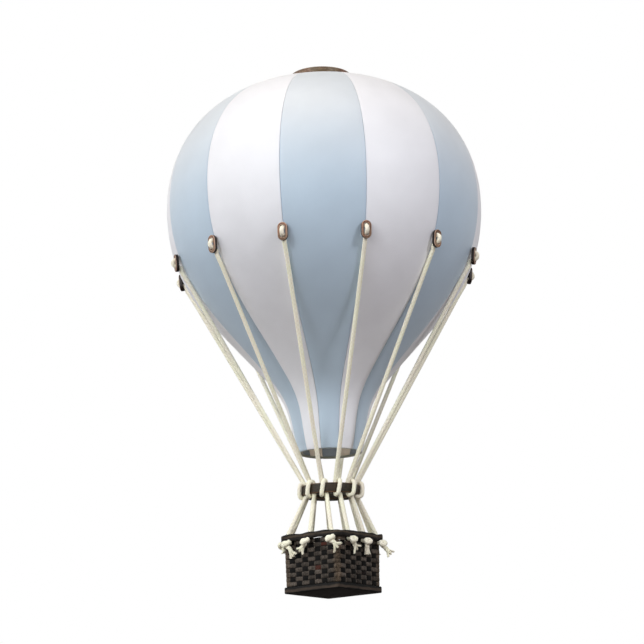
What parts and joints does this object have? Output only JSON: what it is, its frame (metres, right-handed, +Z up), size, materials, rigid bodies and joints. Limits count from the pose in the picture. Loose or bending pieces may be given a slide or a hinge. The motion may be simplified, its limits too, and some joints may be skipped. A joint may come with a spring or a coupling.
{
  "type": "decorative model hot air balloon",
  "caption": "Hanging decorative model of a hot air balloon: a striped gored shell, a crown disc, cotton ropes from slotted buttons, a gathering ring and a woven basket.",
  "frame": {"origin": "middle of the crown disc's flat top face, where the model hangs", "axes": "+Z up along the model's axis; -Y is the front, where a blue gore faces and the basket's near corner stands 6 degrees to its right; +X is to the right seen from the front"},
  "size_m": [0.279, 0.279, 0.4682],
  "materials": {
    "disc_wood": "stained turned wood, satin",
    "pale_blue_paper": "pale blue cloth-grained paper, satin",
    "white_paper": "white cloth-grained paper, satin",
    "button_wood": "red-brown stained wood, satin",
    "cotton_rope": "undyed braided cotton cord",
    "ring_wood": "dark stained wood, satin",
    "rattan_strip": "flat split rattan, dark stained",
    "rim_rattan": "bound split rattan, dark stained",
    "base_board": "dark stained board"
  },
  "bodies": {
    "root": {"crown_disc": "disc_wood", "gore_01": "pale_blue_paper", "gore_02": "white_paper", "gore_03": "pale_blue_paper", "gore_04": "white_paper", "gore_05": "pale_blue_paper", "gore_06": "white_paper", "gore_07": "pale_blue_paper", "gore_08": "white_paper", "gore_09": "pale_blue_paper", "gore_10": "white_paper", "gore_11": "pale_blue_paper", "gore_12": "white_paper", "button_01": "button_wood", "button_02": "button_wood", "button_03": "button_wood", "button_04": "button_wood", "button_05": "button_wood", "button_06": "button_wood", "button_07": "button_wood", "button_08": "button_wood", "button_09": "button_wood", "button_10": "button_wood", "button_11": "button_wood", "button_12": "button_wood", "rope_01": "cotton_rope", "rope_02": "cotton_rope", "rope_03": "cotton_rope", "rope_04": "cotton_rope", "rope_05": "cotton_rope", "rope_06": "cotton_rope", "rope_07": "cotton_rope", "rope_08": "cotton_rope", "rope_09": "cotton_rope", "rope_10": "cotton_rope", "rope_11": "cotton_rope", "rope_12": "cotton_rope", "ring": "ring_wood", "basket_rim": "rim_rattan", "basket_weave": "rattan_strip", "basket_base": "base_board"}
  },
  "joints": []
}
